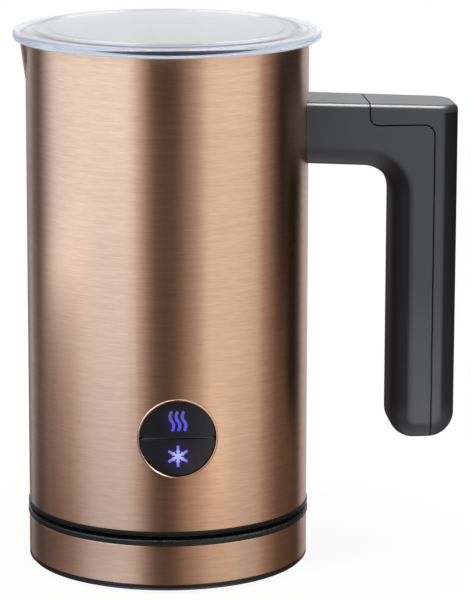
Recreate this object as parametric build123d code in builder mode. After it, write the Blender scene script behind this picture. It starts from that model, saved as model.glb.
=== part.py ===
from build123d import *
import os
from math import cos, pi, radians, sin, sqrt, tan

os.makedirs("parts", exist_ok=True)

# Frame: Z up, origin on the table under the jug's axis, handle towards +X, buttons towards -Y.

# Clearances
seat_gap = 0.05
running_gap = 0.05
slide_gap = 0.3
slack_gap = 0.5
hole_gap = 0.2
cut_over = 1.0

# Heights, stacked from the table up
foot_drop = 1.0
base_ring_height = 2.15
band_height = 14.45
base_rim_height = 2.2
jug_gap = 1.35
trim_height = 1.55
shell_height = 170.0
lid_flange_height = 3.3
lid_rise = 0.9

base_z = foot_drop
band_z = base_z + base_ring_height
base_rim_z = band_z + band_height
base_top_z = base_rim_z + base_rim_height
trim_z = base_top_z + jug_gap
shell_z = trim_z + trim_height
rim_z = shell_z + shell_height
lid_flange_z = rim_z + lid_flange_height
lid_top_z = lid_flange_z + lid_rise

# Jug shell and pot
jug_radius = 51.0
shell_wall = 0.6
pot_wall = 0.6
jacket_gap = 3.8
pot_rim = 0.8
pot_corner = 3.0
shell_inner = jug_radius - shell_wall
pot_outer = shell_inner - jacket_gap
pot_inner = pot_outer - pot_wall

# Spout, a shallow lip on the side away from the handle
spout_reach = 2.05
spout_length = 17.0
spout_radius = 14.0
spout_channel_length = 45.0

# Base
base_step = 0.1
base_edge = 1.0
band_wall = 0.6
sheet_edge_round = 0.3
base_rim_proud = 0.35
base_wall = 1.8
base_floor = 2.0
base_deck = 2.2
spigot_height = 5.0
island_setback = 13.1
island_rise = 4.4
rim_round = 0.6
base_radius = jug_radius + base_step
base_rim_radius = base_radius + base_rim_proud
island_radius = base_radius - island_setback
spigot_radius = base_radius - band_wall - seat_gap
island_z = base_top_z + island_rise
island_under_z = island_z - base_deck
base_floor_z = base_z + base_floor

# Foot, one rubber ring under the base
foot_setback = 7.6
foot_width = 5.0
foot_seat = 0.8
foot_round = 0.3
foot_outer = base_radius - foot_setback
foot_inner = foot_outer - foot_width

# Screws
screw_radius = 1.45
screw_head_radius = 2.7
screw_head = 1.8
pilot_radius = screw_radius + seat_gap
screw_hole_radius = screw_radius + hole_gap
head_hole_radius = screw_head_radius + slide_gap
boss_wall = 2.1
boss_radius = pilot_radius + boss_wall
pilot_extra = 1.0

# Base screws
base_screw_inset = 5.0
base_screw_circle = island_radius - base_screw_inset
base_screw_angles = (30, 150, 270)
base_post_height = 6.0
base_post_z = base_floor_z + base_post_height
base_screw_seat = 2.2
base_head_z = base_floor_z + base_screw_seat
base_screw_bite = 7.0

# Cord bush at the back of the base
gland_bore = 3.4
gland_wall = 1.2
gland_lip = 1.2
gland_flange = 1.4
gland_length = 8.0
gland_round = 0.4
gland_z = (band_z + base_rim_z) / 2
gland_radius = gland_bore + gland_wall
gland_hole = gland_radius + seat_gap
gland_lip_radius = gland_radius + gland_lip
gland_cut_y = 0.8 * base_radius
gland_outer_y = base_radius + seat_gap + gland_flange
gland_inner_y = gland_outer_y - gland_length
gland_catch_y = sqrt((spigot_radius - base_wall) ** 2 - gland_lip_radius ** 2) - seat_gap

# Round power connector
socket_radius = 9.0
socket_rise = 6.8
socket_flange_radius = 13.0
socket_flange = 2.5
socket_tail = 6.5
socket_round = 0.8
socket_top_z = island_z + socket_rise
pin_radius = 1.5
pin_length = 7.0
pin_round = 0.6
pin_bore_depth = 2.0
contact_wall = 0.8
contact_depth = 1.5
ring_contact_radius = 4.5
ring_contact_lift = 1.0
pin_bore = pin_radius + slide_gap + contact_wall + seat_gap
groove_inner = ring_contact_radius - slide_gap - slide_gap
ring_contact_outer = ring_contact_radius + contact_wall
groove_outer = ring_contact_outer + slide_gap + contact_wall + seat_gap
groove_z = island_z
pin_bore_z = island_under_z - pin_bore_depth
contact_top_z = socket_top_z - contact_depth
connector_wall = 4.5
connector_roof = 2.0
connector_flange = 1.8
connector_flange_reach = 3.0
connector_headroom = 1.0
connector_cup = socket_radius + slack_gap
connector_radius = connector_cup + connector_wall
connector_roof_z = socket_top_z + connector_headroom
connector_top_z = connector_roof_z + connector_roof
connector_flange_radius = connector_radius + connector_flange_reach

# Jug bottom cover
cover_wall = 2.0
cover_plug_height = 6.5
seal_depth = 1.0
seal_width = 2.0
trim_proud = 0.35
trim_round = 0.4
trim_radius = jug_radius + trim_proud
recess_gap = 1.0
recess_radius = island_radius + recess_gap
cover_plug_radius = shell_inner - 2 * seat_gap
cover_floor_z = island_z + cover_wall
seal_floor = cover_plug_radius - seal_depth
seal_z = shell_z + (cover_plug_height - seal_width) / 2
chassis_z = cover_floor_z + connector_flange + slack_gap
chassis_floor = 2.0
bottom_screw_inset = 10.0
bottom_screw_circle = recess_radius - bottom_screw_inset
bottom_screw_angles = (20, 160, 270)
bottom_head_sink = 0.3
bottom_head_z = island_z + bottom_head_sink + screw_head
bottom_screw_bite = 7.0
bottom_screw_top_z = chassis_z + chassis_floor + bottom_screw_bite

# Chassis
chassis_gap = 2.9
chassis_radius = shell_inner - chassis_gap
tower_wall = 2.0
tower_radius = connector_flange_radius + slack_gap + slack_gap + tower_wall
tower_window_width = 14.0
tower_hole_gap = 1.0
motor_plate = 2.0
chassis_floor_z = chassis_z + chassis_floor

# Motor and magnet drive, whose stack sets the height of the pot
motor_floor_gap = 2.5
magnet_gap = 1.0
carrier_radius = 17.0
carrier_height = 7.4
carrier_gap = 2.0
carrier_round = 0.8
drive_magnet_radius = 4.0
drive_magnet_height = 4.0
magnet_circle = 10.5
magnet_count = 4
magnet_sink = 0.1
motor_radius = 12.2
motor_length = 29.0
motor_wall = 0.8
motor_cap = 1.0
motor_round = 0.6
motor_endcap_height = 1.5
endcap_spigot = 2.0
shaft_radius = 1.0
bushing_radius = 3.0
bushing_length = 4.0
bushing_proud = 1.0
lower_bushing_radius = 2.6
brush_length = 4.0
brush_width = 2.2
brush_height = 2.0
field_magnet_height = 20.0
field_magnet_wall = 1.8
air_gap = 0.5
pole_inset = 2.0
pole_slot = 2.0
winding_margin = 1.2
shaft_sink = 1.0
motor_screw_circle = 8.0
motor_screw_radius = 1.2
motor_screw_head = 1.2
motor_screw_head_radius = 2.1
endcap_z = connector_top_z + motor_floor_gap
motor_bottom_z = endcap_z + motor_endcap_height
motor_top_z = motor_bottom_z + motor_length
plate_top_z = motor_top_z + motor_plate
carrier_z = plate_top_z + carrier_gap
carrier_top_z = carrier_z + carrier_height
drive_magnet_z = carrier_top_z - drive_magnet_height
pot_under_z = carrier_top_z + magnet_gap
pot_floor_z = pot_under_z + pot_wall
field_magnet_outer = motor_radius - motor_wall - seat_gap
field_magnet_inner = field_magnet_outer - field_magnet_wall
armature_radius = field_magnet_inner - air_gap
field_magnet_z = (motor_bottom_z + endcap_spigot + motor_top_z - motor_cap - field_magnet_height) / 2

# Ties that hold the chassis to the studs under the pot
tie_inset = 5.6
tie_angles = (0, 100, 235)
stud_radius = 2.5
stud_length = 13.0
tie_bite = 8.0
tie_circle = pot_outer - tie_inset
stud_z = pot_under_z - stud_length

# Heating
spreader_margin = 9.1
spreader_thickness = 2.0
spreader_hole_gap = 3.0
element_inset = 7.5
element_radius = 3.2
element_sweep = 320
terminal_radius = 1.2
terminal_length = 6.0
terminal_inset = 4
sensor_radius = 3.0
sensor_height = 7.0
sensor_collar = 0.8
sensor_collar_height = 1.2
sensor_angle = 270
fuse_radius = 1.8
fuse_length = 10.0
fuse_inset = 2.3
fuse_angle = 300
spreader_radius = pot_outer - spreader_margin
spreader_hole = carrier_radius + spreader_hole_gap
element_circle = spreader_radius - element_inset
sensor_circle = element_circle
fuse_circle = spreader_radius - fuse_inset
spreader_z = pot_under_z - spreader_thickness
element_z = spreader_z - element_radius

# Control board
board_width = 58.0
board_height = 34.0
board_thickness = 1.6
board_standoff = 6.0
board_screw_x = 24.0
board_screw_height = 9.5
board_boss = 8.0
board_boss_depth = 6.0
board_margin = 3.0
relay_size = (13.0, 10.0, 15.0)
relay_x = -22.0
chip_size = (10.0, 1.6, 6.0)
header_size = (12.0, 4.0, 6.0)
header_lift = 4.0
round_part_drop = 7.0
capacitor_radius = 5.0
capacitor_height = 9.0
capacitor_x = 22.0
choke_radius = 5.5
choke_height = 5.0
choke_x = 11.0
board_y = tower_radius + board_standoff
board_back_y = board_y + board_thickness

# Buttons, on the front under a round bezel
button_rise = 34.3
bezel_radius = 14.4
bezel_wall = 0.65
bezel_proud = 0.45
bezel_round = 0.4
bezel_flange = 3.0
bezel_flange_thickness = 1.5
button_split = 0.6
button_sink = 0.1
button_depth = 3.2
button_round = 0.3
button_travel = 0.8
plunger_radius = 1.6
plunger_length = 8.6
plunger_offset = 6.2
housing_plate = 2.0
icon_depth = 0.9
icon_offset = 6.4
button_z = shell_z + button_rise
bezel_inner = bezel_radius - bezel_wall
button_radius = bezel_inner - slide_gap
button_face = jug_radius - button_sink
button_back_y = -(button_face - button_depth)
front_y = -jug_radius - cut_over
bezel_flange_radius = bezel_radius + bezel_flange
bezel_flange_y = -sqrt(shell_inner ** 2 - bezel_flange_radius ** 2) + slack_gap
housing_y = bezel_flange_y + bezel_flange_thickness
housing_back_y = housing_y + housing_plate
button_board_thickness = 1.2
switch_size = 6.0
switch_height = 3.5
plunger_entry = 1.0
switch_well = plunger_entry + button_travel + slack_gap
plunger_tip_y = button_back_y + plunger_length
switch_y = plunger_tip_y - plunger_entry
button_board_y = switch_y + switch_height
led_size = (2.0, 1.2, 3.0)
led_x = 5.5
divider_gap = 0.15
divider_sink = 1.5

# Handle
handle_drop = 22.1
handle_top_slope = 2.2
handle_bar_height = 23.2
handle_bottom_slope = 2.9
finger_gap = 29.8
grip_depth = 24.2
grip_length = 126.0
handle_root_width = 28.4
handle_end_width = 25.0
grip_inner_end_round = 9.2
grip_outer_end_round = 9.6
elbow_round = 10.6
handle_round = 7.6
handle_top_round = 2.2
handle_wall = 2.2
seam_gap = 0.3
seam_reach = 21.0
seam_drop = 8.8
seam_cover_depth = 9.3
seam_inner_bend = 3.3
seam_outer_bend = 4.0
handle_plate_wall = 1.2
handle_plate_width = 22.0
handle_plate_height = 20.0
handle_screw_spacing = 11.0
handle_screw_radius = 1.6
handle_screw_head_radius = 2.8
handle_screw_head = 1.5
handle_screw_bite = 10.0
handle_screw_end = jug_radius + handle_screw_bite
handle_top_z = rim_z - handle_drop
grip_inner_x = jug_radius + finger_gap
grip_outer_x = grip_inner_x + grip_depth
grip_bottom_z = handle_top_z - grip_length
seam_x = jug_radius + seam_reach
seam_z = handle_top_z - seam_drop
seam_grip_x = grip_outer_x - seam_cover_depth
handle_boss_radius = 4.0
handle_screw_hole = handle_screw_radius + hole_gap

# Lid
lid_overhang = 4.4
lid_edge_round = 1.1
lid_step_round = 0.8
lid_thickness = 2.2
lid_flange_width = 4.9
lid_step_width = 2.5
lid_plug_gap = 2.0
lid_plug_wall = 2.0
lid_plug_depth = 9.0
gasket_width = 3.4
gasket_depth = 1.1
gasket_drop = 3.0
gasket_proud = 0.4
gasket_lip = 0.8
lid_radius = jug_radius + lid_overhang
lid_step_radius = lid_radius - lid_flange_width
lid_plateau_radius = lid_step_radius - lid_step_width
lid_plug_radius = pot_inner - lid_plug_gap
gasket_reach = pot_inner - slide_gap
gasket_land = lid_plug_radius + gasket_proud

# Whisk
spindle_radius = 2.0
spindle_height = 10.0
spindle_collar_radius = 5.0
spindle_collar = 0.8
spindle_round = 0.8
bush_wall = 1.9
bush_height = 7.4
bush_flange_radius = 6.2
bush_flange = 1.0
hub_height = 5.6
hub_radius = 13.6
coil_ring_radius = 15.2
coil_radius = 2.1
coil_wire = 0.4
coil_turns = 30
coil_sweep = 348
whisk_magnet_radius = 3.0
whisk_magnet_height = 2.6
whisk_magnet_circle = 8.6
bush_z = pot_floor_z + spindle_collar
hub_z = bush_z + bush_flange
bush_inner = spindle_radius + running_gap
bush_outer = bush_inner + bush_wall
hub_mid_z = hub_z + hub_height / 2


def tube(outer, inner, bottom, top, mode=Mode.ADD):
    """Upright tube about the jug's axis."""
    with BuildSketch(Plane.XY.offset(bottom)) as section:
        Circle(outer)
        Circle(inner, mode=Mode.SUBTRACT)
    extrude(section.sketch, amount=top - bottom, mode=mode)


def post(radius, bottom, top, mode=Mode.ADD):
    """Upright round post on the jug's axis."""
    with BuildSketch(Plane.XY.offset(bottom)) as section:
        Circle(radius)
    extrude(section.sketch, amount=top - bottom, mode=mode)


def posts(radius, bottom, top, places, mode=Mode.ADD):
    """Upright round posts at the listed points of the plan."""
    with BuildSketch(Plane.XY.offset(bottom)) as section:
        with Locations(*places):
            Circle(radius)
    extrude(section.sketch, amount=top - bottom, mode=mode)


def turned(points, mode=Mode.ADD):
    """Solid turned about the jug's axis from points given as radius and height."""
    with BuildSketch(Plane.XZ) as section:
        with BuildLine():
            Polyline(*points, close=True)
        make_face()
    revolve(section.sketch, Axis.Z, mode=mode)


def around(circle, angles):
    """Points of the plan on a circle about the jug's axis."""
    return [(circle * cos(radians(a)), circle * sin(radians(a))) for a in angles]


def even_angles(count, start=0.0):
    """Evenly spaced angles of a full turn."""
    return [start + 360.0 * i / count for i in range(count)]


def facing(y, z):
    """Plane whose normal is +Y, with its first axis along X, through a point of the middle plane."""
    return Plane(origin=(0, y, z), x_dir=(1, 0, 0), z_dir=(0, 1, 0))


def rod_y(radius, start, end, z, mode=Mode.ADD, x=0.0):
    """Round rod along Y between two depths."""
    with BuildSketch(facing(start, z)) as section:
        with Locations((x, 0)):
            Circle(radius)
    extrude(section.sketch, amount=end - start, mode=mode)


def rod_x(radius, start, end, z, mode=Mode.ADD):
    """Round rod along X between two reaches."""
    with BuildSketch(Plane(origin=(start, 0, z), x_dir=(0, 1, 0), z_dir=(1, 0, 0))) as section:
        Circle(radius)
    extrude(section.sketch, amount=end - start, mode=mode)


def ring_edges(part, radius):
    """Full circles of one radius."""
    return part.edges().filter_by(GeomType.CIRCLE).filter_by(lambda e: abs(e.radius - radius) < 1e-4)


def corner(sketch, x, y):
    """Corner of a sketch at a point of its plane."""
    return sketch.vertices().filter_by(lambda v: abs(v.X - x) + abs(v.Y - y) < 1e-3)


def finish(part, name):
    """Name a finished piece and write it."""
    part.label = name
    export_step(part, f"parts/{name}.step")


# Base bottom cover: floor with the lower black ring, a spigot inside the band and three screw bosses
base_screw_points = around(base_screw_circle, base_screw_angles)
with BuildPart() as base_bottom_cover:
    turned([
        (0, base_z),
        (base_radius - base_edge, base_z),
        (base_radius, base_z + base_edge),
        (base_radius, band_z),
        (spigot_radius, band_z),
        (spigot_radius, band_z + spigot_height),
        (spigot_radius - base_wall, band_z + spigot_height),
        (spigot_radius - base_wall, base_floor_z),
        (0, base_floor_z),
    ])
    posts(head_hole_radius + base_wall, base_floor_z, base_post_z, base_screw_points)
    posts(head_hole_radius, base_z, base_head_z, base_screw_points, Mode.SUBTRACT)
    posts(screw_hole_radius, base_head_z, base_post_z, base_screw_points, Mode.SUBTRACT)
    tube(foot_outer + seat_gap, foot_inner - seat_gap, base_z, base_z + foot_seat, Mode.SUBTRACT)
    rod_y(gland_hole, gland_cut_y, base_radius, gland_z, Mode.SUBTRACT)
finish(base_bottom_cover.part, "base_bottom_cover")

# Rubber ring that the base stands on, let into the bottom cover
with BuildPart() as base_foot:
    tube(foot_outer, foot_inner, 0, base_z + foot_seat)
    fillet(base_foot.edges().group_by(Axis.Z)[0], foot_round)
finish(base_foot.part, "base_foot")

# Copper band round the base
with BuildPart() as base_band:
    post(base_radius, band_z, base_rim_z)
    fillet(base_band.edges().filter_by(GeomType.CIRCLE), sheet_edge_round)
    post(base_radius - band_wall, band_z, base_rim_z, Mode.SUBTRACT)
    rod_y(gland_hole, gland_cut_y, base_radius + cut_over, gland_z, Mode.SUBTRACT)
finish(base_band.part, "base_band")

# Base top cover: black rim, deck and the raised island that the jug stands on
with BuildPart() as base_top_cover:
    turned([
        (socket_radius + slide_gap, island_under_z),
        (socket_radius + slide_gap, island_z),
        (island_radius, island_z),
        (island_radius, base_top_z),
        (base_rim_radius, base_top_z),
        (base_rim_radius, base_rim_z),
        (spigot_radius, base_rim_z),
        (spigot_radius, base_rim_z - spigot_height),
        (spigot_radius - base_wall, base_rim_z - spigot_height),
        (spigot_radius - base_wall, base_top_z - base_deck),
        (island_radius - base_wall, base_top_z - base_deck),
        (island_radius - base_wall, island_under_z),
    ])
    posts(boss_radius, base_post_z, island_under_z, base_screw_points)
    base_pilot_z = base_post_z + base_screw_bite + pilot_extra
    posts(pilot_radius, base_post_z, base_pilot_z, base_screw_points, Mode.SUBTRACT)
    rod_y(gland_hole, gland_cut_y, base_radius, gland_z, Mode.SUBTRACT)
    fillet(ring_edges(base_top_cover, base_rim_radius), rim_round)
    fillet(ring_edges(base_top_cover, island_radius).sort_by(Axis.Z)[-1], rim_round)
finish(base_top_cover.part, "base_top_cover")

# Three screws up through the bottom cover into the top cover's posts
with BuildPart() as base_screws:
    posts(screw_head_radius, base_head_z - screw_head, base_head_z, base_screw_points)
    posts(screw_radius, base_head_z, base_post_z + base_screw_bite, base_screw_points)
finish(base_screws.part, "base_screws")

# Rubber bush where the cord enters the base
with BuildPart() as cord_gland:
    rod_y(gland_radius, gland_inner_y, gland_outer_y, gland_z)
    rod_y(gland_lip_radius, gland_outer_y - gland_flange, gland_outer_y, gland_z)
    rod_y(gland_lip_radius, gland_inner_y, gland_catch_y, gland_z)
    fillet(cord_gland.edges().group_by(Axis.Y)[-1], gland_round)
    rod_y(gland_bore, gland_inner_y, gland_outer_y, gland_z, Mode.SUBTRACT)
finish(cord_gland.part, "cord_gland")

# Base half of the round power connector
with BuildPart() as base_socket:
    post(socket_radius, island_under_z - socket_tail, socket_top_z)
    post(socket_flange_radius, island_under_z - socket_flange, island_under_z)
    fillet(base_socket.edges().group_by(Axis.Z)[-1], socket_round)
    post(pin_bore, pin_bore_z, socket_top_z, Mode.SUBTRACT)
    tube(groove_outer, groove_inner, groove_z, socket_top_z, Mode.SUBTRACT)
finish(base_socket.part, "base_socket")

# Brass sleeve and ring inside the socket
with BuildPart() as base_contacts:
    tube(pin_bore - seat_gap, pin_bore - seat_gap - contact_wall, pin_bore_z, contact_top_z)
    tube(groove_outer - seat_gap, groove_outer - seat_gap - contact_wall, groove_z, contact_top_z)
finish(base_contacts.part, "base_contacts")

# Jug half of the round power connector, a cup that drops over the socket
with BuildPart() as jug_connector:
    turned([
        (connector_cup, island_z),
        (connector_radius, island_z),
        (connector_radius, cover_floor_z),
        (connector_flange_radius, cover_floor_z),
        (connector_flange_radius, cover_floor_z + connector_flange),
        (connector_radius, cover_floor_z + connector_flange),
        (connector_radius, connector_top_z),
        (0, connector_top_z),
        (0, connector_roof_z),
        (connector_cup, connector_roof_z),
    ])
finish(jug_connector.part, "jug_connector")

# Brass pin in the middle of the cup
with BuildPart() as connector_pin:
    post(pin_radius, connector_roof_z - pin_length, connector_roof_z)
    fillet(connector_pin.edges().group_by(Axis.Z)[0], pin_round)
finish(connector_pin.part, "connector_pin")

# Brass ring round the pin
with BuildPart() as connector_ring:
    tube(ring_contact_outer, ring_contact_radius, groove_z + ring_contact_lift, connector_roof_z)
finish(connector_ring.part, "connector_ring")


def spout(radius, reach, length, bottom_reach):
    """Leaning round lip on -X: two equal circles, the upper one further out."""
    with BuildSketch(Plane.XY.offset(rim_z - length)) as low:
        with Locations((radius - bottom_reach, 0)):
            Circle(radius)
    with BuildSketch(Plane.XY.offset(rim_z)) as high:
        with Locations((radius - reach, 0)):
            Circle(radius)
    return loft([low.sketch.face(), high.sketch.face()], mode=Mode.PRIVATE)


# Copper outer shell with the spout's lip, the button hole and the handle's screw holes
spout_tip = jug_radius + spout_reach
spout_outside = spout(spout_radius, spout_tip, spout_length, jug_radius - shell_wall / 2)
spout_inside = spout(
    spout_radius - shell_wall, spout_tip - shell_wall, spout_length, jug_radius - shell_wall * 1.5
)
handle_axis_z = handle_top_z - handle_bar_height / 2
handle_screw_heights = [handle_axis_z + s * handle_screw_spacing / 2 for s in (-1, 1)]
with BuildPart() as outer_shell:
    post(jug_radius, shell_z, rim_z)
    fillet(outer_shell.edges().group_by(Axis.Z)[0], sheet_edge_round)
    add(spout_outside)
    post(shell_inner, shell_z, rim_z, Mode.SUBTRACT)
    add(spout_inside, mode=Mode.SUBTRACT)
    rod_y(bezel_radius + seat_gap, front_y, -0.5 * jug_radius, button_z, Mode.SUBTRACT)
    for z in handle_screw_heights:
        rod_x(handle_screw_hole, 0.8 * jug_radius, jug_radius + cut_over, z, Mode.SUBTRACT)
finish(outer_shell.part, "outer_shell")


def pot_cup(radius, bottom, corner):
    """Round solid up to the rim, with a rounded lower corner."""
    with BuildPart() as cup:
        post(radius, bottom, rim_z)
        fillet(cup.edges().group_by(Axis.Z)[0], corner)
    return cup.part


# Milk pot: drawn steel cup with a flat rim and the spout's channel
channel_radius = spout_radius - shell_wall - 2 * seat_gap
channel_tip = spout_tip - shell_wall - 2 * seat_gap
channel_outside = spout(channel_radius, channel_tip, spout_channel_length, pot_outer - pot_wall / 2)
channel_inside = spout(
    channel_radius - pot_wall, channel_tip - pot_wall, spout_channel_length, pot_outer - pot_wall * 1.5
)
with BuildPart() as milk_pot:
    add(pot_cup(pot_outer, pot_under_z, pot_corner))
    add(channel_outside)
    post(shell_inner - 2 * seat_gap, rim_z - pot_rim, rim_z)
    add(pot_cup(pot_inner, pot_floor_z, pot_corner - pot_wall), mode=Mode.SUBTRACT)
    add(channel_inside, mode=Mode.SUBTRACT)
finish(milk_pot.part, "milk_pot")

# Three threaded studs welded under the pot's floor
tie_points = around(tie_circle, tie_angles)
with BuildPart() as pot_studs:
    posts(stud_radius, stud_z, pot_under_z, tie_points)
    posts(pilot_radius, stud_z, stud_z + tie_bite + pilot_extra, tie_points, Mode.SUBTRACT)
finish(pot_studs.part, "pot_studs")

# Spindle welded to the middle of the pot's floor
with BuildPart() as pot_spindle:
    post(spindle_radius, pot_floor_z, pot_floor_z + spindle_height)
    fillet(pot_spindle.edges().group_by(Axis.Z)[-1], spindle_round)
    post(spindle_collar_radius, pot_floor_z, pot_floor_z + spindle_collar)
finish(pot_spindle.part, "pot_spindle")

# Jug bottom cover with the black trim ring, and a recess that fits over the island
bottom_screw_points = around(bottom_screw_circle, bottom_screw_angles)
with BuildPart() as jug_bottom_cover:
    turned([
        (connector_radius + slide_gap, island_z),
        (connector_radius + slide_gap, cover_floor_z),
        (recess_radius + cover_wall, cover_floor_z),
        (recess_radius + cover_wall, trim_z + cover_wall),
        (cover_plug_radius - cover_wall, trim_z + cover_wall),
        (cover_plug_radius - cover_wall, shell_z + cover_plug_height),
        (cover_plug_radius, shell_z + cover_plug_height),
        (cover_plug_radius, shell_z),
        (trim_radius, shell_z),
        (trim_radius, trim_z),
        (recess_radius, trim_z),
        (recess_radius, island_z),
    ])
    fillet(ring_edges(jug_bottom_cover, trim_radius), trim_round)
    tube(shell_inner, seal_floor, seal_z, seal_z + seal_width, Mode.SUBTRACT)
    posts(head_hole_radius + cover_wall / 2, cover_floor_z, chassis_z, bottom_screw_points)
    posts(head_hole_radius, island_z, bottom_head_z, bottom_screw_points, Mode.SUBTRACT)
    posts(screw_hole_radius, bottom_head_z, chassis_z, bottom_screw_points, Mode.SUBTRACT)
finish(jug_bottom_cover.part, "jug_bottom_cover")

# Rubber ring between the bottom cover and the shell
with BuildPart() as bottom_seal:
    tube(cover_plug_radius, seal_floor + seat_gap, seal_z + seat_gap, seal_z + seal_width - seat_gap)
finish(bottom_seal.part, "bottom_seal")

# Three screws up through the bottom cover into the chassis
with BuildPart() as bottom_screws:
    posts(screw_head_radius, bottom_head_z - screw_head, bottom_head_z, bottom_screw_points)
    posts(screw_radius, bottom_head_z, bottom_screw_top_z, bottom_screw_points)
finish(bottom_screws.part, "bottom_screws")

# Chassis: floor, motor tower with three windows, screw bosses, tie columns and two board bosses
motor_screw_points = around(motor_screw_circle, (45, 225))
board_screw_z = chassis_floor_z + board_screw_height
tower_mid_z = (chassis_floor_z + motor_top_z) / 2
tower_window_height = 0.6 * (motor_top_z - chassis_floor_z)
with BuildPart() as chassis:
    tube(chassis_radius, connector_flange_radius + slack_gap, chassis_z, chassis_floor_z)
    tube(tower_radius, tower_radius - tower_wall, chassis_floor_z, motor_top_z)
    tube(tower_radius, bushing_radius + tower_hole_gap, motor_top_z, plate_top_z)
    posts(motor_screw_radius + hole_gap, motor_top_z, plate_top_z, motor_screw_points, Mode.SUBTRACT)
    for angle in even_angles(3, 30):
        with Locations(Location((0, 0, tower_mid_z), (0, 0, angle))):
            with Locations((tower_radius, 0, 0)):
                Box(4 * tower_wall, tower_window_width, tower_window_height, mode=Mode.SUBTRACT)
    bottom_pilot_z = bottom_screw_top_z + pilot_extra
    posts(boss_radius, chassis_floor_z, bottom_pilot_z + pilot_extra, bottom_screw_points)
    posts(pilot_radius, chassis_z, bottom_pilot_z, bottom_screw_points, Mode.SUBTRACT)
    posts(boss_radius, chassis_floor_z, stud_z, tie_points)
    posts(screw_hole_radius, chassis_z, stud_z, tie_points, Mode.SUBTRACT)
    for x in (-board_screw_x, board_screw_x):
        with Locations((x, board_back_y + board_boss_depth / 2, chassis_floor_z)):
            Box(
                board_boss, board_boss_depth, board_screw_height + board_boss / 2,
                align=(Align.CENTER, Align.CENTER, Align.MIN),
            )
        rod_y(pilot_radius, board_back_y, board_back_y + board_boss_depth, board_screw_z, Mode.SUBTRACT, x)
finish(chassis.part, "chassis")

# Three long screws through the chassis columns into the pot's studs
with BuildPart() as tie_screws:
    posts(screw_head_radius, chassis_z - screw_head, chassis_z, tie_points)
    posts(screw_radius, chassis_z, stud_z + tie_bite, tie_points)
finish(tie_screws.part, "tie_screws")

# Aluminium plate bonded under the pot
sensor_points = around(sensor_circle, (sensor_angle,))
with BuildPart() as heat_spreader:
    tube(spreader_radius, spreader_hole, spreader_z, pot_under_z)
    posts(sensor_radius + slide_gap, spreader_z, pot_under_z, sensor_points, Mode.SUBTRACT)
finish(heat_spreader.part, "heat_spreader")

# Tubular heating element, an open ring with two terminals
element_start = -90 + (360 - element_sweep) / 2
with BuildPart() as heating_element:
    with BuildSketch(Plane.XZ.rotated((0, 0, element_start))):
        with Locations((element_circle, element_z)):
            Circle(element_radius)
    revolve(axis=Axis.Z, revolution_arc=element_sweep)
    terminal_angles = (element_start + terminal_inset, element_start + element_sweep - terminal_inset)
    terminal_z = element_z - element_radius - terminal_length
    posts(terminal_radius, terminal_z, element_z, around(element_circle, terminal_angles))
finish(heating_element.part, "heating_element")

# Temperature sensor hung in the plate, between the ends of the element
with BuildPart() as temperature_sensor:
    sensor_top_z = pot_under_z - slide_gap
    posts(sensor_radius, sensor_top_z - sensor_height, sensor_top_z, sensor_points)
    posts(sensor_radius + sensor_collar, spreader_z - sensor_collar_height, spreader_z, sensor_points)
finish(temperature_sensor.part, "temperature_sensor")

# Thermal fuse lying against the plate
with BuildPart() as thermal_fuse:
    fuse_place = around(fuse_circle, (fuse_angle,))[0]
    fuse_along = (-sin(radians(fuse_angle)), cos(radians(fuse_angle)), 0)
    with BuildSketch(Plane(origin=(*fuse_place, spreader_z - fuse_radius), z_dir=fuse_along)):
        Circle(fuse_radius)
    extrude(amount=fuse_length / 2, both=True)
finish(thermal_fuse.part, "thermal_fuse")

# Motor can, closed at the top
with BuildPart() as motor_can:
    post(motor_radius, motor_bottom_z, motor_top_z)
    fillet(motor_can.edges().group_by(Axis.Z)[-1], motor_round)
    cap_z = motor_top_z - motor_cap
    post(motor_radius - motor_wall, motor_bottom_z, cap_z, Mode.SUBTRACT)
    post(bushing_radius, cap_z, motor_top_z, Mode.SUBTRACT)
    posts(motor_screw_radius + seat_gap, cap_z, motor_top_z, motor_screw_points, Mode.SUBTRACT)
finish(motor_can.part, "motor_can")

# Motor end cap
lower_bushing_top = motor_bottom_z + endcap_spigot
with BuildPart() as motor_endcap:
    post(motor_radius, endcap_z, motor_bottom_z)
    post(motor_radius - motor_wall - seat_gap, motor_bottom_z, lower_bushing_top)
    post(lower_bushing_radius, endcap_z, lower_bushing_top, Mode.SUBTRACT)
finish(motor_endcap.part, "motor_endcap")

# Sintered bushings at both ends of the shaft
upper_bushing_top = motor_top_z + bushing_proud
shaft_bore = shaft_radius + running_gap
with BuildPart() as motor_bushings:
    tube(bushing_radius - seat_gap, shaft_bore, upper_bushing_top - bushing_length, upper_bushing_top)
    tube(lower_bushing_radius - seat_gap, shaft_bore, endcap_z, lower_bushing_top)
finish(motor_bushings.part, "motor_bushings")

# Two carbon brushes standing on the end cap, either side of the commutator
commutator_radius = 2.5 * shaft_radius
with BuildPart() as motor_brushes:
    brush_x = commutator_radius + slide_gap + brush_length / 2
    for x in (-brush_x, brush_x):
        with Locations((x, 0, lower_bushing_top)):
            Box(brush_length, brush_width, brush_height, align=(Align.CENTER, Align.CENTER, Align.MIN))
finish(motor_brushes.part, "motor_brushes")

# Two curved field magnets
with BuildPart() as motor_magnets:
    tube(field_magnet_outer, field_magnet_inner, field_magnet_z, field_magnet_z + field_magnet_height)
    with Locations((0, 0, field_magnet_z + field_magnet_height / 2)):
        Box(3 * motor_radius, 0.6 * motor_radius, 2 * field_magnet_height, mode=Mode.SUBTRACT)
finish(motor_magnets.part, "motor_magnets")

# Two screws that hang the motor from the chassis
with BuildPart() as motor_screws:
    posts(motor_screw_head_radius, plate_top_z, plate_top_z + motor_screw_head, motor_screw_points)
    posts(motor_screw_radius, cap_z, plate_top_z, motor_screw_points)
finish(motor_screws.part, "motor_screws")

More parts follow.
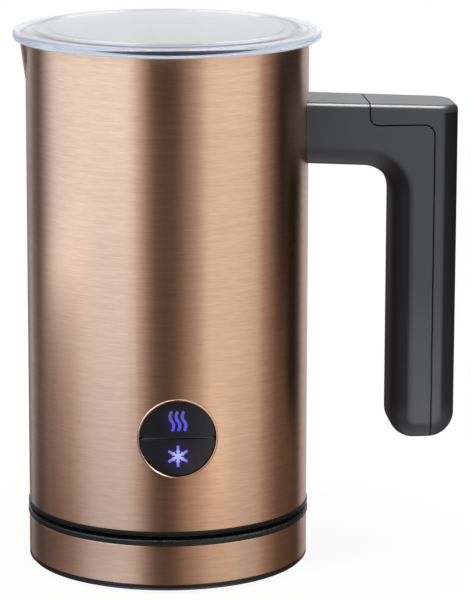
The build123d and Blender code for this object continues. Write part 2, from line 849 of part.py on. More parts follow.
# Armature: shaft, three wound poles and the commutator
pole_z = field_magnet_z + pole_inset
pole_top_z = field_magnet_z + field_magnet_height - pole_inset
with BuildPart() as motor_armature:
    post(armature_radius, pole_z, pole_top_z)
    for angle in even_angles(3, 30):
        with Locations(Location((0, 0, (pole_z + pole_top_z) / 2), (0, 0, angle))):
            with Locations((armature_radius, 0, 0)):
                Box(armature_radius, pole_slot, 2 * (pole_top_z - pole_z), mode=Mode.SUBTRACT)
    post(0.8 * armature_radius, pole_z - winding_margin, pole_top_z + winding_margin)
    post(commutator_radius, lower_bushing_top + slide_gap, pole_z - winding_margin)
    post(shaft_radius, endcap_z, carrier_top_z - shaft_sink)
finish(motor_armature.part, "motor_armature")

# Magnet carrier pressed on the shaft, close under the pot
magnet_points = around(magnet_circle, even_angles(magnet_count, 45))
with BuildPart() as magnet_carrier:
    post(carrier_radius, carrier_z, carrier_top_z)
    fillet(ring_edges(magnet_carrier, carrier_radius), carrier_round)
    post(shaft_radius + seat_gap, carrier_z, carrier_top_z, Mode.SUBTRACT)
    posts(drive_magnet_radius + seat_gap, drive_magnet_z, carrier_top_z, magnet_points, Mode.SUBTRACT)
finish(magnet_carrier.part, "magnet_carrier")

# Four drive magnets in the carrier's pockets
with BuildPart() as drive_magnets:
    posts(drive_magnet_radius, drive_magnet_z, carrier_top_z - magnet_sink, magnet_points)
finish(drive_magnets.part, "drive_magnets")

# Control board, upright behind the motor
with BuildPart() as control_board:
    with Locations((0, board_y, chassis_floor_z)):
        Box(board_width, board_thickness, board_height, align=(Align.CENTER, Align.MIN, Align.MIN))
    for x in (-board_screw_x, board_screw_x):
        rod_y(screw_hole_radius, board_y, board_back_y, board_screw_z, Mode.SUBTRACT, x)
finish(control_board.part, "control_board")

# Components on the board's front: relay, capacitor, choke, chip and plug header
board_top_z = chassis_floor_z + board_height
with BuildPart() as board_parts:
    with Locations((relay_x, board_y, board_top_z - board_margin)):
        Box(*relay_size, align=(Align.CENTER, Align.MAX, Align.MAX))
    with Locations((0, board_y, board_top_z - board_margin)):
        Box(*chip_size, align=(Align.CENTER, Align.MAX, Align.MAX))
    with Locations((0, board_y, chassis_floor_z + header_lift)):
        Box(*header_size, align=(Align.CENTER, Align.MAX, Align.MIN))
    rod_y(capacitor_radius, board_y - capacitor_height, board_y, board_top_z - round_part_drop, x=capacitor_x)
    rod_y(choke_radius, board_y - choke_height, board_y, board_top_z - round_part_drop, x=choke_x)
finish(board_parts.part, "board_parts")

# Two screws that hold the board to the chassis
with BuildPart() as board_screws:
    for x in (-board_screw_x, board_screw_x):
        rod_y(screw_head_radius, board_y - screw_head, board_y, board_screw_z, x=x)
        rod_y(screw_radius, board_y, board_back_y + board_boss_depth - pilot_extra, board_screw_z, x=x)
finish(board_screws.part, "board_screws")

# Copper bezel round the buttons, with a flange behind the shell
with BuildPart() as button_bezel:
    rod_y(bezel_radius, front_y, housing_y, button_z)
    with BuildSketch(Plane.XY.offset(button_z - 2 * bezel_radius)) as bezel_front:
        Circle(jug_radius + bezel_proud)
    extrude(amount=4 * bezel_radius, mode=Mode.INTERSECT)
    fillet(button_bezel.faces().sort_by(Axis.Y)[0].edges(), bezel_round)
    rod_y(bezel_flange_radius, bezel_flange_y, housing_y, button_z)
    rod_y(bezel_inner, front_y, housing_y, button_z, Mode.SUBTRACT)
finish(button_bezel.part, "button_bezel")

# Button housing behind the bezel: a plate that guides the plungers and a skirt for the board
hot_z = button_z + plunger_offset
cold_z = button_z - plunger_offset
with BuildPart() as button_housing:
    rod_y(bezel_flange_radius, housing_y, button_board_y, button_z)
    rod_y(bezel_flange_radius - housing_plate, housing_back_y, button_board_y, button_z, Mode.SUBTRACT)
    for z in (hot_z, cold_z):
        rod_y(plunger_radius + slide_gap, housing_y, housing_back_y, z, Mode.SUBTRACT)
    divider_depth = housing_y + button_face - divider_sink
    divider_size = (2 * (button_radius - cut_over), divider_depth, button_split - 2 * divider_gap)
    with Locations((0, housing_y, button_z)):
        Box(*divider_size, align=(Align.CENTER, Align.MAX, Align.CENTER))
finish(button_housing.part, "button_housing")

# Button board, on the back of the housing
with BuildPart() as button_board:
    rod_y(bezel_flange_radius, button_board_y, button_board_y + button_board_thickness, button_z)
finish(button_board.part, "button_board")

# Two push switches, each with a well for its plunger
with BuildPart() as tact_switches:
    for z in (hot_z, cold_z):
        with Locations((0, switch_y, z)):
            Box(switch_size, switch_height, switch_size, align=(Align.CENTER, Align.MIN, Align.CENTER))
        rod_y(plunger_radius + slide_gap, switch_y, switch_y + switch_well, z, Mode.SUBTRACT)
finish(tact_switches.part, "tact_switches")

# Two small lights beside the switches
with BuildPart() as button_leds:
    for z in (hot_z, cold_z):
        for x in (-led_x, led_x):
            with Locations((x, button_board_y, z)):
                Box(*led_size, align=(Align.CENTER, Align.MAX, Align.CENTER))
finish(button_leds.part, "button_leds")


def steam_strokes():
    """Three wavy strokes side by side, for the upper button."""
    stroke_width = 1.05
    stroke_pitch = 2.15
    wave = 1.75
    swing = 0.66
    with BuildSketch(facing(front_y, button_z + icon_offset)) as strokes:
        for i in (-1, 0, 1):
            x = i * stroke_pitch
            with BuildLine() as line:
                first = ThreePointArc((x, -2 * wave), (x - swing, -wave), (x, 0))
                ThreePointArc(first @ 1, (x + swing, wave), (x, 2 * wave))
            trace(line.line, line_width=stroke_width)
    return strokes.sketch


def snowflake():
    """Six arms, each with one pair of side branches, for the lower button."""
    arm = 3.9
    fork_at = 0.42
    stroke_width = 0.9
    branch = 0.75
    with BuildSketch(facing(front_y, button_z - icon_offset)) as flake:
        for angle in even_angles(6, 30):
            along = (cos(radians(angle)), sin(radians(angle)))
            with BuildLine() as spoke:
                Line((0, 0), (arm * along[0], arm * along[1]))
            trace(spoke.line, line_width=stroke_width)
            for side in (-45, 45):
                fork = (fork_at * arm * along[0], fork_at * arm * along[1])
                lean = radians(angle + side)
                with BuildLine() as twig:
                    Line(fork, (fork[0] + branch * cos(lean), fork[1] + branch * sin(lean)))
                trace(twig.line, line_width=stroke_width)
    return flake.sketch


def button_pieces(name, side, icon):
    """Half-round cap with its lit symbol let into the face, and the plunger behind it."""
    with BuildPart() as symbol:
        extrude(icon, amount=cut_over + button_sink + icon_depth)
        low_z = button_z - 2 * bezel_radius
        high_z = button_z + 2 * bezel_radius
        tube(2 * jug_radius, button_face, low_z, high_z, Mode.SUBTRACT)
    finish(symbol.part, f"{name}_icon")
    with BuildPart() as cap:
        rod_y(button_radius, front_y, button_back_y, button_z)
        with BuildSketch(Plane.XY.offset(button_z + side * button_split / 2)) as face_round:
            Circle(button_face)
        extrude(face_round.sketch, amount=side * 2 * button_radius, mode=Mode.INTERSECT)
        fillet(cap.faces().sort_by(Axis.Y)[0].edges(), button_round)
        add(symbol.part, mode=Mode.SUBTRACT)
    finish(cap.part, f"{name}_button")
    with BuildPart() as plunger:
        rod_y(plunger_radius, button_back_y, plunger_tip_y, button_z + side * plunger_offset)
    finish(plunger.part, f"{name}_plunger")


button_pieces("hot", 1, steam_strokes())
button_pieces("cold", -1, snowflake())


def handle_form(inset):
    """Handle's outside shape, drawn in by a wall: a sloping bar that turns down into the grip."""
    start_x = 0.75 * jug_radius

    def top_at(x):
        return handle_top_z - (x - jug_radius) * tan(radians(handle_top_slope))

    def under_at(x):
        return handle_top_z - handle_bar_height - (x - jug_radius) * tan(radians(handle_bottom_slope))

    with BuildPart() as form:
        with BuildSketch(Plane.XZ) as side:
            with BuildLine():
                Polyline(
                    (start_x, top_at(start_x)),
                    (grip_outer_x, top_at(grip_outer_x)),
                    (grip_outer_x, grip_bottom_z),
                    (grip_inner_x, grip_bottom_z),
                    (grip_inner_x, under_at(grip_inner_x)),
                    (start_x, under_at(start_x)),
                    close=True,
                )
            make_face()
            fillet(corner(side, grip_inner_x, grip_bottom_z), grip_inner_end_round)
            fillet(corner(side, grip_outer_x, grip_bottom_z), grip_outer_end_round)
            fillet(corner(side, grip_inner_x, under_at(grip_inner_x)), elbow_round)
            if inset:
                offset(amount=-inset, kind=Kind.INTERSECTION)
        extrude(amount=handle_root_width, both=True)
        taper = (handle_root_width - handle_end_width) / 2 / (grip_outer_x - jug_radius)

        def half_width(x):
            return handle_root_width / 2 - (x - jug_radius) * taper - inset

        far_x = grip_outer_x + handle_root_width
        with BuildSketch():
            with BuildLine():
                Polyline(
                    (0, -half_width(0)),
                    (far_x, -half_width(far_x)),
                    (far_x, half_width(far_x)),
                    (0, half_width(0)),
                    close=True,
                )
            make_face()
        extrude(amount=2 * handle_top_z, mode=Mode.INTERSECT)
        flanks = form.faces().filter_by(lambda f: abs(f.normal_at().Y) > 0.9)
        low_edges = flanks.edges().filter_by(
            lambda e: e.center().X > start_x + inset + 0.1 and e.center().Z < top_at(e.center().X) - inset - 1
        )
        fillet(low_edges, handle_round - inset)
        crown = form.faces().filter_by(lambda f: f.normal_at().Z > 0.9).sort_by(Axis.Z)[-1]
        crown_edges = crown.edges().filter_by(lambda e: e.center().X > start_x + inset + 0.1)
        fillet(crown_edges, max(handle_top_round - inset, 0.4))
    return form.part


def seam_region(shift):
    """Side of the seam that belongs to the outer cover, moved along the seam's normal by a shift."""
    far = 2 * grip_outer_x
    with BuildPart() as region:
        with BuildSketch(Plane.XZ) as side:
            with BuildLine():
                Polyline(
                    (seam_x + shift, far),
                    (seam_x + shift, seam_z + shift),
                    (seam_grip_x + shift, seam_z + shift),
                    (seam_grip_x + shift, 0),
                    (far, 0),
                    (far, far),
                    close=True,
                )
            make_face()
            fillet(corner(side, seam_x + shift, seam_z + shift), seam_inner_bend - shift)
            fillet(corner(side, seam_grip_x + shift, seam_z + shift), seam_outer_bend + shift)
        extrude(amount=handle_root_width, both=True)
    return region.part


# Handle's main moulding: closed against the jug, open towards the cover, with two screw bosses
handle_body = handle_form(0)
handle_hollow = handle_form(handle_wall)
root_radius = jug_radius + seat_gap
with BuildPart() as bar_hollow:
    add(handle_hollow)
    post(root_radius + handle_wall, 0, 2 * handle_top_z, Mode.SUBTRACT)
with BuildPart() as handle_inner:
    add(handle_body)
    add(bar_hollow.part, mode=Mode.SUBTRACT)
    for z in handle_screw_heights:
        rod_x(handle_boss_radius, shell_inner, handle_screw_end + 2 * pilot_extra, z)
        rod_x(handle_screw_radius + seat_gap, pot_outer, handle_screw_end + pilot_extra, z, Mode.SUBTRACT)
    post(root_radius, 0, 2 * handle_top_z, Mode.SUBTRACT)
    add(seam_region(-seam_gap / 2), mode=Mode.SUBTRACT)
finish(handle_inner.part, "handle_inner")

# Handle's outer cover
with BuildPart() as handle_cover:
    add(handle_body)
    add(handle_hollow, mode=Mode.SUBTRACT)
    add(seam_region(seam_gap / 2), mode=Mode.INTERSECT)
finish(handle_cover.part, "handle_cover")

# Curved steel plate inside the shell, behind the handle
plate_outer = shell_inner - 2 * seat_gap
plate_inner = plate_outer - handle_plate_wall
with BuildPart() as handle_plate:
    plate_z = handle_axis_z - handle_plate_height / 2
    tube(plate_outer, plate_inner, plate_z, plate_z + handle_plate_height)
    with Locations((jug_radius, 0, handle_axis_z)):
        Box(0.8 * jug_radius, handle_plate_width, 2 * handle_plate_height, mode=Mode.INTERSECT)
    for z in handle_screw_heights:
        rod_x(handle_screw_hole, 0.8 * jug_radius, jug_radius, z, Mode.SUBTRACT)
finish(handle_plate.part, "handle_plate")

# Two screws from inside the shell into the handle
head_face_x = sqrt(plate_inner ** 2 - handle_screw_head_radius ** 2) - seat_gap
with BuildPart() as handle_screws:
    for z in handle_screw_heights:
        rod_x(handle_screw_head_radius, head_face_x - handle_screw_head, head_face_x, z)
        rod_x(handle_screw_radius, head_face_x, handle_screw_end, z)
finish(handle_screws.part, "handle_screws")

# Clear lid: flange on the rim, raised middle and a plug ring with a groove for the gasket
lid_plug_z = rim_z - lid_plug_depth
gasket_z = rim_z - gasket_drop - gasket_width
groove_floor = lid_plug_radius - gasket_depth
with BuildPart() as lid:
    turned([
        (0, lid_top_z - lid_thickness),
        (0, lid_top_z),
        (lid_plateau_radius, lid_top_z),
        (lid_step_radius, lid_flange_z),
        (lid_radius, lid_flange_z),
        (lid_radius, rim_z),
        (lid_plug_radius, rim_z),
        (lid_plug_radius, lid_plug_z),
        (lid_plug_radius - lid_plug_wall, lid_plug_z),
        (lid_plug_radius - lid_plug_wall, lid_top_z - lid_thickness),
    ])
    tube(pot_inner, groove_floor, gasket_z, gasket_z + gasket_width, Mode.SUBTRACT)
    fillet(ring_edges(lid, lid_radius), lid_edge_round)
    fillet(ring_edges(lid, lid_plateau_radius), lid_step_round)
finish(lid.part, "lid")

# Silicone gasket with one thin sealing lip
gasket_body = groove_floor + seat_gap
with BuildPart() as lid_gasket:
    turned([
        (gasket_body, gasket_z + seat_gap),
        (gasket_land, gasket_z + seat_gap),
        (gasket_reach, gasket_z + gasket_width - gasket_lip),
        (gasket_reach, gasket_z + gasket_width - seat_gap),
        (gasket_land, gasket_z + gasket_lip + seat_gap),
        (gasket_land, gasket_z + gasket_width - seat_gap),
        (gasket_body, gasket_z + gasket_width - seat_gap),
    ])
finish(lid_gasket.part, "lid_gasket")

# Nylon bush that slides over the spindle and carries the whisk
with BuildPart() as whisk_bush:
    tube(bush_outer, bush_inner, bush_z, bush_z + bush_height)
    tube(bush_flange_radius, bush_inner, bush_z, bush_z + bush_flange)
finish(whisk_bush.part, "whisk_bush")

# Whisk hub: disc with a rounded groove for the coil and pockets for the magnets
whisk_magnet_points = around(whisk_magnet_circle, even_angles(magnet_count, 45))
with BuildPart() as whisk_hub:
    post(hub_radius, hub_z, hub_z + hub_height)
    with BuildSketch(Plane.XZ) as coil_groove:
        with Locations((coil_ring_radius, hub_mid_z)):
            Circle(coil_radius + coil_wire + slide_gap / 2)
    revolve(axis=Axis.Z, mode=Mode.SUBTRACT)
    post(bush_outer + running_gap, hub_z, hub_z + hub_height, Mode.SUBTRACT)
    magnet_top_z = hub_z + whisk_magnet_height
    posts(whisk_magnet_radius + seat_gap, hub_z, magnet_top_z, whisk_magnet_points, Mode.SUBTRACT)
finish(whisk_hub.part, "whisk_hub")

# Four small magnets under the hub
with BuildPart() as whisk_magnets:
    posts(whisk_magnet_radius, hub_z + magnet_sink, magnet_top_z, whisk_magnet_points)
finish(whisk_magnets.part, "whisk_magnets")


def coil_point(half_turns):
    """Point and direction of the coil's wire after a count of half turns."""
    turn = radians(coil_sweep) * half_turns / (2 * coil_turns)
    turn_rate = radians(coil_sweep) / (2 * coil_turns)
    curl = pi * half_turns
    reach = coil_ring_radius + coil_radius * cos(curl)
    outward = Vector(cos(turn), sin(turn), 0)
    onward = Vector(-sin(turn), cos(turn), 0)
    point = outward * reach + Vector(0, 0, hub_mid_z + coil_radius * sin(curl))
    heading = outward * (-pi * coil_radius * sin(curl)) + onward * (reach * turn_rate)
    heading += Vector(0, 0, pi * coil_radius * cos(curl))
    return point, heading.normalized()


def coil_gap(wire, samples):
    """Least gap between neighbouring turns of the wire, measured on points along it."""
    points = [wire.position_at(i / samples) for i in range(samples + 1)]
    half_turn = samples // (2 * coil_turns)
    nearest = min(
        (points[i] - points[j]).length
        for i in range(0, samples - half_turn, 3)
        for j in range(i + half_turn, min(i + 4 * half_turn, samples))
    )
    return nearest - 2 * coil_wire


# Spring coil round the whisk's hub: a helix bent into an open ring, each half turn a pair of tangent arcs
with BuildPart() as whisk_coil:
    with BuildLine() as coil_path:
        for i in range(2 * coil_turns):
            start, heading = coil_point(i)
            end, leaving = coil_point(i + 1)
            span = end - start
            both = heading + leaving
            bend = 2 * (1 - heading.dot(leaving))
            reach = (sqrt(span.dot(both) ** 2 + bend * span.dot(span)) - span.dot(both)) / bend
            first_corner = start + heading * reach
            second_corner = end - leaving * reach
            meeting = (first_corner + second_corner) / 2
            TangentArc(start, meeting, tangent=heading)
            TangentArc(meeting, end, tangent=second_corner - first_corner)
    with BuildSketch(Plane(origin=coil_path.line @ 0, z_dir=coil_path.line % 0)):
        Circle(coil_wire)
    sweep(path=coil_path.line)
print(f"least gap between the coil's turns: {coil_gap(coil_path.wire(), 40 * coil_turns):.2f} mm")
finish(whisk_coil.part, "whisk_coil")
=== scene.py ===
from math import cos, pi, radians, sin

import bmesh
import bpy
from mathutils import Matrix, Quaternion, Vector


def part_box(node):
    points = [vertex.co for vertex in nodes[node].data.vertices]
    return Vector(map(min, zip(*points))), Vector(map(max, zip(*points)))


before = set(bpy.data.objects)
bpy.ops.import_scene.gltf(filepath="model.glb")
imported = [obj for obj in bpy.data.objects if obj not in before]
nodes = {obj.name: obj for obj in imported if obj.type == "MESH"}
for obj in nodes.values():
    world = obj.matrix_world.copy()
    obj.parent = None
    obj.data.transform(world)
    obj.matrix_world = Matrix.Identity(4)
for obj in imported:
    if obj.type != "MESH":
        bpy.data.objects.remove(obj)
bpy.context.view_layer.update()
scene = bpy.context.scene
scene.view_settings.view_transform = "Standard"


# Camera: a long lens well back from the jug, a little to the left of the buttons, looking down
# on the lid as the photograph does.
camera_turn = radians(-4.0)
camera_distance = 1.22515
camera_height = 0.3613
camera_yaw = 0.0202
camera_pitch = -0.2131
camera_roll = 0.0026
lens = bpy.data.cameras.new("camera")
lens.sensor_width = 36
lens.lens = 205.97
camera = bpy.data.objects.new("camera", lens)
scene.collection.objects.link(camera)
camera.location = (
    camera_distance * sin(camera_turn), -camera_distance * cos(camera_turn), camera_height,
)
heading = camera_yaw - camera_turn
level = cos(camera_pitch)
ahead = Vector((sin(heading) * level, cos(heading) * level, sin(camera_pitch)))
camera.rotation_mode = "QUATERNION"
camera.rotation_quaternion = ahead.to_track_quat("-Z", "Y") @ Quaternion((0, 0, 1), camera_roll)
scene.camera = camera


# Studio light: soft panels round the jug, a dark gap between them in front and a dark card at each
# side, which draw the upright bands on the copper. Six sheets close to the jug, which gloss alone
# sees, tune the bands at the sides and low down. Only the background is plain white.
class Wire:
    """One socket of a node tree: arithmetic on it adds Math nodes."""

    def __init__(self, tree, socket=None):
        self.tree = tree
        self.socket = socket

    def node(self, kind, settings=None, sockets=None, output=0):
        """Add a node, set it up, feed its sockets and give one of its outputs."""
        made = self.tree.nodes.new(kind)
        for name, value in (settings or {}).items():
            if name == "stops":
                ramp = made.color_ramp.elements
                while len(ramp) < len(value):
                    ramp.new(1.0)
                for stop, (spot, colour) in zip(ramp, value):
                    stop.position = spot
                    stop.color = (*colour, 1.0)
            else:
                setattr(made, name, value)
        for name, value in (sockets or {}).items():
            if isinstance(value, Wire):
                self.tree.links.new(value.socket, made.inputs[name])
            else:
                made.inputs[name].default_value = value
        return Wire(self.tree, made.outputs[output] if made.outputs else None)

    def math(self, operation, *values):
        return self.node("ShaderNodeMath", {"operation": operation}, dict(enumerate(values)))

    def __add__(self, other):
        return self.math("ADD", self, other)

    def __sub__(self, other):
        return self.math("SUBTRACT", self, other)

    def __rsub__(self, other):
        return self.math("SUBTRACT", other, self)

    def __mul__(self, other):
        return self.math("MULTIPLY", self, other)

    __radd__ = __add__
    __rmul__ = __mul__

    def __abs__(self):
        return self.math("ABSOLUTE", self)

    def most(self, other):
        """The larger of two values."""
        return self.math("MAXIMUM", self, other)

    def least(self, other):
        """The smaller of two values."""
        return self.math("MINIMUM", self, other)

    def ease(self, low, high):
        """Rise smoothly from 0 to 1 between two values."""
        steps = {"Value": self, "From Min": low, "From Max": high}
        return self.node("ShaderNodeMapRange", {"interpolation_type": "SMOOTHSTEP"}, steps)

    def band(self, start, full, wane, end):
        """Rise from 0 to 1 between the first two values and fall back between the last two."""
        return self.ease(start, full) * (1 - self.ease(wane, end))

    def mix(self, first, second):
        """Blend two colours, with this value as the share of the second."""
        return self.node("ShaderNodeMix", {"data_type": "RGBA"}, {0: self, 6: first, 7: second}, 2)

    def xyz(self):
        """The three parts of a vector."""
        return [self.node("ShaderNodeSeparateXYZ", None, {0: self}, i) for i in range(3)]

    def place(self):
        """The point of the piece that is shaded, in metres."""
        return self.node("ShaderNodeTexCoord", output="Object")

    def ray(self, kind):
        """1 for rays of one kind: Camera, Glossy or Transmission."""
        return self.node("ShaderNodeLightPath", output=f"Is {kind} Ray")


def turn_share(x, y):
    """Share of a full turn about the jug's axis, 0.5 in front and growing to the right."""
    return x.math("ARCTAN2", x, y * -1.0) * (1 / (2 * pi)) + (0.5 - camera_turn / (2 * pi))


def by_angle(levels):
    """Ramp stops from pairs of an angle, 0 in front, and a colour."""
    return [(angle / 360 + 0.5, colour) for angle, colour in levels]


def grey(level):
    return (level, level, level)


white = (1.0, 1.0, 1.0, 1.0)
plain_light = (0.42, 0.42, 0.43, 1.0)
cool_panel, cool_edge = (1.7, 2.1, 2.66), (0.72, 0.64, 0.62)
warm_panel, warm_edge = (1.27, 1.39, 1.46), (0.7, 0.61, 0.55)
front_gap, left_gap, right_gap = (0.07, 0.06, 0.055), (0.09, 0.08, 0.08), (0.03, 0.025, 0.022)
back_panel, dark_back = grey(0.65), grey(0.01)
left_back, right_back = (0.69, 0.86, 1.02), (0.28, 0.36, 0.46)
low_brown, pale_ground = (0.05, 0.028, 0.02, 1), (0.9, 0.88, 0.87, 1)
squeeze_rise, low_squeeze = (-0.42, -0.08), 0.38
brown_rise, brown_lean, panel_left = (-0.38, -0.06), 0.24, 0.1
ground_edge, ceiling_edge = (-0.92, -0.76), (0.8, 0.95)
back_sides, back_foot = (0.36, 0.42), (0.02, 0.08)
sky = bpy.data.worlds.new("studio")
scene.world = sky
sky.use_nodes = True
sky.node_tree.nodes.clear()
studio = Wire(sky.node_tree)
east, north, up = studio.node("ShaderNodeTexCoord", output="Generated").xyz()
squeeze = (1 + low_squeeze) - up.ease(*squeeze_rise) * low_squeeze
aside = (turn_share(east, north) - 0.5) * squeeze
panels = studio.node("ShaderNodeValToRGB", {"stops": by_angle([
    (-180, back_panel), (-151, left_back), (-142, left_gap), (-126, left_gap),
    (-104, cool_panel), (-33, cool_panel), (-21, cool_edge), (-13, front_gap),
    (8, front_gap), (24, warm_edge), (36, warm_panel), (77, warm_panel),
    (92, right_gap), (135, dark_back), (144, right_back), (180, back_panel),
])}, {"Fac": aside + 0.5})
fade = (up + aside * brown_lean).ease(*brown_rise) * (1 - panel_left) + panel_left
panels = fade.mix(low_brown, panels)
panels = up.ease(*ground_edge).mix(pale_ground, panels)
back_light = abs(aside).ease(*back_sides) * up.ease(*back_foot)
panels = up.ease(*ceiling_edge).most(back_light).mix(panels, white)
plain_view = studio.ray("Camera").most(studio.ray("Transmission"))
seen = plain_view.mix(panels, white)
light = plain_view.most(studio.ray("Glossy")).mix(plain_light, seen)
studio.node("ShaderNodeOutputWorld", None, {
    "Surface": studio.node("ShaderNodeBackground", None, {"Color": light}),
})


def soft_box(name, place, aim, width, height, watts):
    """Flat lamp that faces a point."""
    lamp = bpy.data.lights.new(name, "AREA")
    lamp.shape = "RECTANGLE"
    lamp.size = width
    lamp.size_y = height
    lamp.energy = watts
    box = bpy.data.objects.new(name, lamp)
    scene.collection.objects.link(box)
    box.location = place
    box.rotation_euler = (Vector(aim) - Vector(place)).to_track_quat("-Z", "Y").to_euler()
    box.visible_camera = False
    return box


jug_middle = (0.0, 0.0, 0.1)
soft_box("top_strip", (0.05, -0.12, 1.1), jug_middle, 1.0, 0.1, 4.7)
soft_box("left_lamp", (-0.9, -0.5, 0.6), jug_middle, 0.5, 0.8, 4.0).visible_glossy = False
soft_box("front_lamp", (0.25, -1.2, 0.3), jug_middle, 0.6, 0.6, 7.0).visible_glossy = False


def blank(name):
    """New material without nodes, and a wire to its node tree."""
    made = bpy.data.materials.new(name)
    made.use_nodes = True
    made.node_tree.nodes.clear()
    return made, Wire(made.node_tree)


def set_out(name, shape, made):
    """Object of the studio, not of the jug, from a mesh being edited and a material."""
    mesh = bpy.data.meshes.new(name)
    shape.to_mesh(mesh)
    shape.free()
    mesh.materials.append(made)
    prop = bpy.data.objects.new(name, mesh)
    scene.collection.objects.link(prop)
    return prop


full_rise = (-0.1, 0.25)
low_to_high = (0.04, 0.12)


def sheet(name, ends, high, low, rise=full_rise, soft=0.0):
    """Upright sheet that only gloss sees, shaded from end to end and from high to low.

    A soft sheet fades out over that share of its length at both ends.
    """
    (x1, y1), (x2, y2) = ends
    foot, head = rise
    shape = bmesh.new()
    for x, y, z in ((x1, y1, foot), (x2, y2, foot), (x2, y2, head), (x1, y1, head)):
        shape.verts.new((x, y, z))
    bmesh.ops.contextual_create(shape, geom=shape.verts[:])
    made, wire = blank(name)
    x, y, z = wire.place().xyz()
    square = (x2 - x1) ** 2 + (y2 - y1) ** 2
    part = (x - x1) * ((x2 - x1) / square) + (y - y1) * ((y2 - y1) / square)
    along = part.ease(0.0, 1.0)
    shading = z.ease(*low_to_high).mix(along.mix(*low), along.mix(*high))
    surface = wire.node("ShaderNodeEmission", None, {"Color": shading})
    if soft:
        clear = wire.node("ShaderNodeBsdfTransparent")
        share = part.band(0.0, soft, 1 - soft, 1.0)
        surface = wire.node("ShaderNodeMixShader", None, {0: share, 1: clear, 2: surface})
    wire.node("ShaderNodeOutputMaterial", None, {"Surface": surface})
    prop = set_out(name, shape, made)
    prop.visible_camera = prop.visible_diffuse = False
    prop.visible_transmission = prop.visible_shadow = False


pale_ends = ((0.3, 0.3, 0.3, 1), (1.0, 1.1, 1.15, 1))
sheet("pale_sheet", ((0.075, -0.32), (0.19, -0.30)), pale_ends, pale_ends)
side_x, right_join, left_join = 0.14, -0.012, 0.07
lit_end, brown_end, dim_end = (0.48, 0.42, 0.4, 1), (0.15, 0.11, 0.095, 1), (0.05, 0.04, 0.035, 1)
dark_end, black_end = (0.02, 0.018, 0.018, 1), (0.01, 0.01, 0.01, 1)
sheet("shaded_sheet", ((side_x, -0.07), (side_x, right_join)),
      (lit_end, dark_end), (lit_end, brown_end))
sheet("black_sheet", ((side_x, right_join), (side_x, 0.078)),
      (dark_end, black_end), (brown_end, dim_end))
left_high = ((0.6, 0.67, 0.78, 1), (0.52, 0.54, 0.58, 1))
left_low = ((0.56, 0.56, 0.6, 1), (0.13, 0.1, 0.09, 1))
sheet("left_sheet", ((-side_x, -0.1), (-side_x, left_join)),
      left_high, left_low, rise=(-0.1, 0.1), soft=0.4)
back_high = ((0.09, 0.08, 0.08, 1), (0.42, 0.5, 0.62, 1))
back_low = ((0.1, 0.095, 0.1, 1), (0.56, 0.66, 0.8, 1))
sheet("back_sheet", ((-side_x, left_join), (-side_x, 0.24)),
      back_high, back_low, rise=(-0.1, 0.18))
front_ends = ((0.65, 0.5, 0.39, 1), (1.3, 1.14, 1.0, 1))
sheet("front_sheet", ((-0.015, -0.155), (0.12, -0.115)),
      front_ends, front_ends, rise=(0.0, 0.026), soft=0.35)


# Floor: a plain pale table top. It is white in the picture but keeps the jug's soft shadow, and metal
# sees the studio through it with painted shade, browner and darker near the jug.
floor_radius = 4.0
matt_white = (0.8, 0.8, 0.8, 1.0)
reflected_shade_tint = (0.1, 0.03, 0.02, 1)
shadow_edge, shadow_share = (0.06, 0.15), 0.07
reflected_shade_edge = (0.1, 0.75)
right_rise, right_loss = (-0.14, -0.02), 0.7
back_rise, back_loss = (0.0, 0.1), 0.8


def distance(a, b):
    """Length of a line from its parts along two axes."""
    square = a * a + b * b
    return square.math("SQRT", square)


def floor_finish():
    """White to the camera but for the shadow, matt to other light, clear to gloss with painted shade."""
    made, wire = blank("floor")
    x, y, _ = wire.place().xyz()
    reach = distance(x, y)
    matt = wire.node("ShaderNodeBsdfDiffuse", None, {"Color": matt_white})
    pale = wire.node("ShaderNodeEmission", None, {"Color": white})
    clean = reach.ease(*shadow_edge) * shadow_share + (1 - shadow_share)
    pictured = wire.node("ShaderNodeMixShader", None, {0: clean, 1: matt, 2: pale})
    lit = wire.node("ShaderNodeMixShader", None, {0: wire.ray("Camera"), 1: matt, 2: pictured})
    # Painted shade for gloss: browner and darker near the jug, less so to the right and behind it.
    shade = 1 - reach.ease(*reflected_shade_edge)
    shade = shade * (1 - x.ease(*right_rise) * right_loss)
    shade = shade * (1 - y.ease(*back_rise) * back_loss)
    mirrored = wire.node("ShaderNodeBsdfTransparent", None, {"Color": shade.mix(white, reflected_shade_tint)})
    whole = wire.node("ShaderNodeMixShader", None, {0: wire.ray("Glossy"), 1: lit, 2: mirrored})
    wire.node("ShaderNodeOutputMaterial", None, {"Surface": whole})
    return made


disc = bmesh.new()
bmesh.ops.create_circle(disc, cap_ends=True, segments=96, radius=floor_radius)
set_out("floor", disc, floor_finish())


# Base mouldings: the bottom cover with the lower black ring, and the top cover with the rounded rim
# and the island that the jug stands on. Moulded black plastic with a fine satin grain, on a rubber
# foot; the jug's own bottom cover, a little duller, and its seal are made the same way.
def finish(name, paint, second=None, share=None):
    """New material: a paint gets a wire to the node tree and gives the values of a shader's sockets.

    A second paint takes a share of the surface that a third function works out.
    """
    made, wire = blank(name)
    surface = wire.node("ShaderNodeBsdfPrincipled", None, paint(wire))
    if second:
        other = wire.node("ShaderNodeBsdfPrincipled", None, second(wire))
        surface = wire.node("ShaderNodeMixShader", None, {0: share(wire), 1: surface, 2: other})
    wire.node("ShaderNodeOutputMaterial", None, {"Surface": surface})
    return made


def wear(made, *names):
    """Give a finish to whole pieces of the model."""
    for name in names:
        nodes[name].material_slots[0].material = made


def grain(wire, scale, detail=3.0, rough=0.55):
    """Noise over the piece's own place; the scale is in cycles per metre along X, Y and Z."""
    stretched = wire.node("ShaderNodeMapping", None, {"Vector": wire.place(), "Scale": scale})
    sockets = {"Vector": stretched, "Scale": 1.0, "Detail": detail, "Roughness": rough}
    return wire.node("ShaderNodeTexNoise", None, sockets)


def even(scale):
    return (scale, scale, scale)


